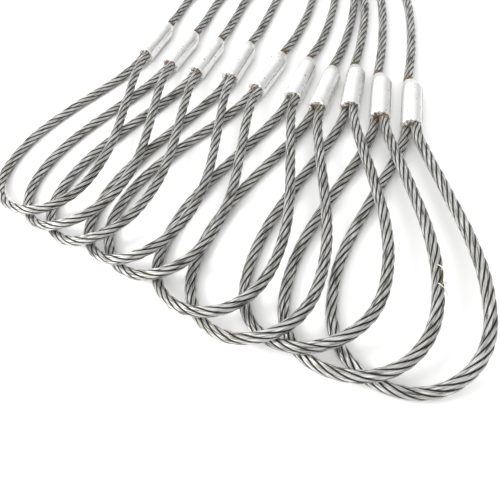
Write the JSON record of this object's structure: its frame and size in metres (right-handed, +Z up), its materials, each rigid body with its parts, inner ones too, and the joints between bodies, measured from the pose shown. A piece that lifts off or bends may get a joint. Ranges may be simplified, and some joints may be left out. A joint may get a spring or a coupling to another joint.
{
  "type": "wire rope slings",
  "caption": "Bundle of short wire rope sling legs, each with a teardrop soft eye held by a pressed, tapered ferrule; the plain ends are seized and bound together with wire.",
  "frame": {"origin": "on the floor, at the middle of the rectangle that the bundle covers", "axes": "+Y from the eyes towards the bound plain ends, +X to the right seen from above with the eyes towards the viewer, +Z up"},
  "size_m": [0.5398, 0.836, 0.0303],
  "materials": {
    "rope_steel": "galvanised wire, dulled, with dirt and a little rust in the gaps between strands",
    "ferrule_aluminium": "pressed, satin, with brown stains near both ends",
    "seizing_steel": "annealed galvanised wire, dull"
  },
  "bodies": {
    "bundle": {"binding": "seizing_steel", "sling_01_tail": "rope_steel", "sling_01_end_seizing": "seizing_steel", "sling_02_tail": "rope_steel", "sling_02_end_seizing": "seizing_steel", "sling_03_tail": "rope_steel", "sling_03_end_seizing": "seizing_steel", "sling_04_tail": "rope_steel", "sling_04_end_seizing": "seizing_steel", "sling_05_tail": "rope_steel", "sling_05_end_seizing": "seizing_steel", "sling_06_tail": "rope_steel", "sling_06_end_seizing": "seizing_steel", "sling_07_tail": "rope_steel", "sling_07_end_seizing": "seizing_steel", "sling_08_tail": "rope_steel", "sling_08_end_seizing": "seizing_steel", "sling_09_tail": "rope_steel", "sling_09_end_seizing": "seizing_steel", "sling_10_tail": "rope_steel", "sling_10_end_seizing": "seizing_steel"},
    "sling_01": {"sling_01_rope": "rope_steel", "sling_01_ferrule": "ferrule_aluminium"},
    "sling_02": {"sling_02_rope": "rope_steel", "sling_02_ferrule": "ferrule_aluminium"},
    "sling_03": {"sling_03_rope": "rope_steel", "sling_03_ferrule": "ferrule_aluminium"},
    "sling_04": {"sling_04_rope": "rope_steel", "sling_04_ferrule": "ferrule_aluminium"},
    "sling_05": {"sling_05_rope": "rope_steel", "sling_05_ferrule": "ferrule_aluminium"},
    "sling_06": {"sling_06_rope": "rope_steel", "sling_06_ferrule": "ferrule_aluminium"},
    "sling_07": {"sling_07_rope": "rope_steel", "sling_07_ferrule": "ferrule_aluminium"},
    "sling_08": {"sling_08_rope": "rope_steel", "sling_08_ferrule": "ferrule_aluminium"},
    "sling_09": {"sling_09_rope": "rope_steel", "sling_09_ferrule": "ferrule_aluminium"},
    "sling_10": {"sling_10_rope": "rope_steel", "sling_10_ferrule": "ferrule_aluminium"}
  },
  "joints": [
    {"name": "sling_01_lift", "type": "hinge", "parent": "bundle", "child": "sling_01", "pos_m": [-0.1009, 0.23, 0.017], "axis": [-1, 0, 0], "range_deg": [0, 20]},
    {"name": "sling_02_lift", "type": "hinge", "parent": "bundle", "child": "sling_02", "pos_m": [-0.0802, 0.23, 0.005], "axis": [-1, 0, 0], "range_deg": [0, 18]},
    {"name": "sling_03_lift", "type": "hinge", "parent": "bundle", "child": "sling_03", "pos_m": [-0.0622, 0.23, 0.017], "axis": [-1, 0, 0], "range_deg": [0, 16]},
    {"name": "sling_04_lift", "type": "hinge", "parent": "bundle", "child": "sling_04", "pos_m": [-0.0436, 0.23, 0.005], "axis": [-1, 0, 0], "range_deg": [0, 14]},
    {"name": "sling_05_lift", "type": "hinge", "parent": "bundle", "child": "sling_05", "pos_m": [-0.0228, 0.23, 0.017], "axis": [-1, 0, 0], "range_deg": [0, 12]},
    {"name": "sling_06_lift", "type": "hinge", "parent": "bundle", "child": "sling_06", "pos_m": [-0.0109, 0.23, 0.005], "axis": [-1, 0, 0], "range_deg": [0, 10]},
    {"name": "sling_07_lift", "type": "hinge", "parent": "bundle", "child": "sling_07", "pos_m": [0.0016, 0.23, 0.017], "axis": [-1, 0, 0], "range_deg": [0, 8]},
    {"name": "sling_08_lift", "type": "hinge", "parent": "bundle", "child": "sling_08", "pos_m": [0.0072, 0.23, 0.005], "axis": [-1, 0, 0], "range_deg": [0, 6]},
    {"name": "sling_09_lift", "type": "hinge", "parent": "bundle", "child": "sling_09", "pos_m": [0.0187, 0.23, 0.017], "axis": [-1, 0, 0], "range_deg": [0, 4]},
    {"name": "sling_10_lift", "type": "hinge", "parent": "bundle", "child": "sling_10", "pos_m": [0.0318, 0.23, 0.005], "axis": [-1, 0, 0], "range_deg": [0, 2]}
  ],
  "couplings": [
    {"joint": "sling_02_lift", "follows": "sling_01_lift", "ratio": 0.9},
    {"joint": "sling_03_lift", "follows": "sling_01_lift", "ratio": 0.8},
    {"joint": "sling_04_lift", "follows": "sling_01_lift", "ratio": 0.7},
    {"joint": "sling_05_lift", "follows": "sling_01_lift", "ratio": 0.6},
    {"joint": "sling_06_lift", "follows": "sling_01_lift", "ratio": 0.5},
    {"joint": "sling_07_lift", "follows": "sling_01_lift", "ratio": 0.4},
    {"joint": "sling_08_lift", "follows": "sling_01_lift", "ratio": 0.3},
    {"joint": "sling_09_lift", "follows": "sling_01_lift", "ratio": 0.2},
    {"joint": "sling_10_lift", "follows": "sling_01_lift", "ratio": 0.1}
  ]
}
